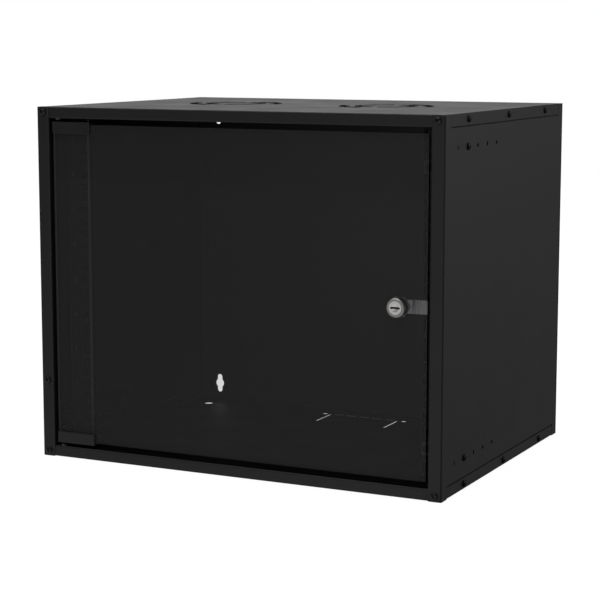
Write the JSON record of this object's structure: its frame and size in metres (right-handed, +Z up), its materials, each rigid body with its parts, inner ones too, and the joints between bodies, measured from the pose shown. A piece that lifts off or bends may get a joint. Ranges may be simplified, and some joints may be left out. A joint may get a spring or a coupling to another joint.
{
  "type": "wall mount network cabinet",
  "caption": "Wall mount network cabinet in folded sheet steel with a pivoted tinted glass door, cam lock, square-hole rack rails, rear keyholes and cable knock-outs.",
  "frame": {"origin": "centre of the underside of the carcass", "axes": "+Z up, +X to the right when facing the door, -Y towards the door, +Y towards the wall"},
  "size_m": [0.5456, 0.4118, 0.438],
  "materials": {
    "powder_coated_steel": "fine matte black powder coat",
    "zinc_plated_steel": "zinc plate",
    "blackened_steel": "black zinc plate",
    "painted_zinc_casting": "satin black paint",
    "black_rubber": "matte",
    "grey_nylon": "smooth moulded",
    "tinted_glass": "polished, light grey tint",
    "nickel_plated_zinc": "satin nickel"
  },
  "bodies": {
    "cabinet": {"bonding_nut": "blackened_steel", "bonding_screw": "blackened_steel", "carrier_clamp_nuts": "blackened_steel", "carrier_clamp_screws": "blackened_steel", "floor_flange_screws": "blackened_steel", "floor_panel": "powder_coated_steel", "front_corner_screws": "blackened_steel", "left_lower_rail_carrier": "powder_coated_steel", "left_rack_rail": "powder_coated_steel", "left_side_panel": "powder_coated_steel", "left_upper_rail_carrier": "powder_coated_steel", "lower_door_bumper": "black_rubber", "lower_pivot_bush": "grey_nylon", "rail_nuts": "blackened_steel", "rail_screws": "blackened_steel", "rear_panel": "powder_coated_steel", "rear_panel_nuts": "blackened_steel", "rear_panel_studs": "blackened_steel", "right_lower_rail_carrier": "powder_coated_steel", "right_rack_rail": "powder_coated_steel", "right_side_panel": "powder_coated_steel", "right_upper_rail_carrier": "powder_coated_steel", "roof_flange_screws": "blackened_steel", "roof_panel": "powder_coated_steel", "upper_door_bumper": "black_rubber", "upper_pivot_bush": "grey_nylon"},
    "door": {"glass_pane": "tinted_glass", "upper_hinge_clip": "painted_zinc_casting", "lower_hinge_clip": "painted_zinc_casting", "upper_clip_liner": "black_rubber", "lower_clip_liner": "black_rubber", "upper_clip_grub_screws": "blackened_steel", "lower_clip_grub_screws": "blackened_steel", "upper_pivot_pin": "blackened_steel", "lower_pivot_pin": "blackened_steel", "lock_housing": "nickel_plated_zinc", "lock_gaskets": "black_rubber", "lock_nut": "zinc_plated_steel"},
    "lock_core": {"lock_plug": "nickel_plated_zinc", "lock_cam": "zinc_plated_steel", "cam_screw": "zinc_plated_steel"}
  },
  "joints": [
    {"name": "door_hinge", "type": "hinge", "parent": "cabinet", "child": "door", "pos_m": [-0.243, -0.198, 0.219], "axis": [0, 0, -1], "range_deg": [0, 115]},
    {"name": "lock_turn", "type": "hinge", "parent": "door", "child": "lock_core", "pos_m": [0.2123, -0.2045, 0.22], "axis": [0, 1, 0], "range_deg": [0, 90]}
  ]
}
